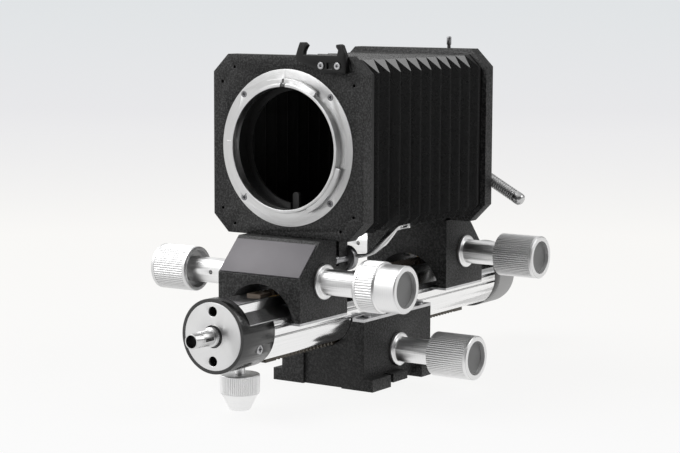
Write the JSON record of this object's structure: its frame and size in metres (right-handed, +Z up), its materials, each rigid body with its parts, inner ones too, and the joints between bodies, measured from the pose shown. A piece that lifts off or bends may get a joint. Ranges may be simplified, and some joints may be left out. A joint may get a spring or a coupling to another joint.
{
  "type": "macro bellows unit",
  "caption": "Macro bellows on a focusing rail: lens and camera standards joined by a folded bellows, moved by rack-and-pinion knobs over a tripod block.",
  "frame": {"origin": "centre of the tripod socket on the base plane", "axes": "+X towards the drive knobs, +Y from the lens towards the camera, +Z up"},
  "size_m": [0.116, 0.2255, 0.1408],
  "materials": {
    "crackle_black": "crackle paint",
    "black_enamel": "gloss black",
    "dark_steel": "dark, milled",
    "satin_silver": "satin",
    "polished_steel": "polished",
    "turned_silver": "turned",
    "grey_disc": "matt grey",
    "brass": "machined",
    "screw_steel": "plain",
    "bellows_skin": "matt black, folded"
  },
  "bodies": {
    "base": {"tripod_block": "crackle_black", "tripod_socket": "brass", "tripod_gibs": "dark_steel", "tripod_gib_screws": "screw_steel", "tripod_drive_bush": "turned_silver", "tripod_lock_bush": "turned_silver"},
    "base_drive": {"tripod_drive_knob": "satin_silver", "tripod_drive_disc": "grey_disc", "tripod_drive_shaft": "polished_steel", "tripod_pinion": "brass"},
    "base_lock": {"tripod_lock_knob": "satin_silver"},
    "rail": {"rail_bar": "polished_steel", "top_rack": "dark_steel", "bottom_rack": "dark_steel", "rail_screws": "screw_steel", "front_cap": "black_enamel", "front_disc": "satin_silver", "front_stud": "polished_steel", "rear_buffer": "black_enamel", "rear_cap": "satin_silver"},
    "stop_lock": {"stop_knob": "satin_silver"},
    "front_standard": {"front_block": "crackle_black", "front_gibs": "dark_steel", "front_gib_screws": "screw_steel", "nameplate": "grey_disc", "lens_plate": "crackle_black", "accessory_shoe": "black_enamel", "shoe_screws": "screw_steel", "lens_mount": "satin_silver", "lens_mount_screws": "screw_steel", "light_tube": "black_enamel", "front_frame": "black_enamel", "front_drive_bush": "turned_silver", "front_lock_bush": "turned_silver", "bellows_front": "bellows_skin"},
    "front_drive": {"front_drive_knob": "satin_silver", "front_drive_disc": "grey_disc", "front_drive_shaft": "polished_steel", "front_pinion": "brass"},
    "front_lock": {"front_lock_knob": "satin_silver"},
    "iris": {"iris_ring": "dark_steel"},
    "stop_down": {"stop_down_crank": "dark_steel", "stop_down_lever": "polished_steel"},
    "rear_standard": {"rear_block": "crackle_black", "rear_gibs": "dark_steel", "rear_gib_screws": "screw_steel", "camera_plate": "crackle_black", "camera_seat": "satin_silver", "rear_frame": "black_enamel", "rear_drive_bush": "turned_silver", "rear_lock_bush": "turned_silver", "bellows_rear": "bellows_skin"},
    "rear_drive": {"rear_drive_knob": "satin_silver", "rear_drive_disc": "grey_disc", "rear_drive_shaft": "polished_steel", "rear_pinion": "brass"},
    "rear_lock": {"rear_lock_knob": "satin_silver"},
    "breech": {"breech_ring": "black_enamel", "breech_handle": "polished_steel"},
    "button": {"release_button": "polished_steel"}
  },
  "joints": [
    {"name": "rail_slide", "type": "slide", "parent": "base", "child": "rail", "axis": [0, 1, 0], "range_m": [-0.064, 0.046]},
    {"name": "front_slide", "type": "slide", "parent": "rail", "child": "front_standard", "axis": [0, 1, 0], "range_m": [-0.009, 0.025], "deforming": ["bellows_front"]},
    {"name": "rear_slide", "type": "slide", "parent": "rail", "child": "rear_standard", "axis": [0, 1, 0], "range_m": [-0.02, 0.021], "deforming": ["bellows_rear"]},
    {"name": "base_drive_turn", "type": "hinge", "parent": "base", "child": "base_drive", "pos_m": [0, 0, 0.0135], "axis": [1, 0, 0], "range_deg": [-549.3, 764.2]},
    {"name": "front_drive_turn", "type": "hinge", "parent": "front_standard", "child": "front_drive", "pos_m": [0, -0.0543, 0.0481], "axis": [1, 0, 0], "range_deg": [-298.6, 107.6]},
    {"name": "rear_drive_turn", "type": "hinge", "parent": "rear_standard", "child": "rear_drive", "pos_m": [0, 0.0547, 0.0481], "axis": [1, 0, 0], "range_deg": [-250.9, 239]},
    {"name": "base_lock_turn", "type": "hinge", "parent": "base", "child": "base_lock", "pos_m": [-0.05, 0, 0.0135], "axis": [-1, 0, 0], "range_deg": [0, 180]},
    {"name": "front_lock_turn", "type": "hinge", "parent": "front_standard", "child": "front_lock", "pos_m": [-0.05, -0.0543, 0.0481], "axis": [-1, 0, 0], "range_deg": [0, 180]},
    {"name": "rear_lock_turn", "type": "hinge", "parent": "rear_standard", "child": "rear_lock", "pos_m": [-0.05, 0.0547, 0.0481], "axis": [-1, 0, 0], "range_deg": [0, 180]},
    {"name": "stop_lock_turn", "type": "hinge", "parent": "rail", "child": "stop_lock", "pos_m": [0, -0.0825, 0.01], "axis": [0, 0, -1], "range_deg": [0, 180]},
    {"name": "iris_turn", "type": "hinge", "parent": "front_standard", "child": "iris", "pos_m": [0, -0.0443, 0.0986], "axis": [0, 1, 0], "range_deg": [-7.3, 0], "stiffness_Nm_per_rad": 0.03, "springref_deg": 11.46},
    {"name": "lever_swing", "type": "hinge", "parent": "front_standard", "child": "stop_down", "pos_m": [0.0175, -0.0357, 0.0551], "axis": [0, 1, 0], "range_deg": [0, 16]},
    {"name": "breech_turn", "type": "hinge", "parent": "rear_standard", "child": "breech", "pos_m": [0, 0.0513, 0.0986], "axis": [0, 1, 0], "range_deg": [-40, 0]},
    {"name": "button_press", "type": "slide", "parent": "rear_standard", "child": "button", "axis": [0, 0, 1], "range_m": [-0.0014, 0], "stiffness_N_per_m": 400, "springref_m": 0.003}
  ],
  "couplings": [
    {"joint": "base_drive_turn", "follows": "rail_slide", "rad_per_m": -208.33},
    {"joint": "front_drive_turn", "follows": "front_slide", "rad_per_m": -208.33},
    {"joint": "rear_drive_turn", "follows": "rear_slide", "rad_per_m": -208.33},
    {"joint": "lever_swing", "follows": "iris_turn", "ratio": -2.165}
  ]
}
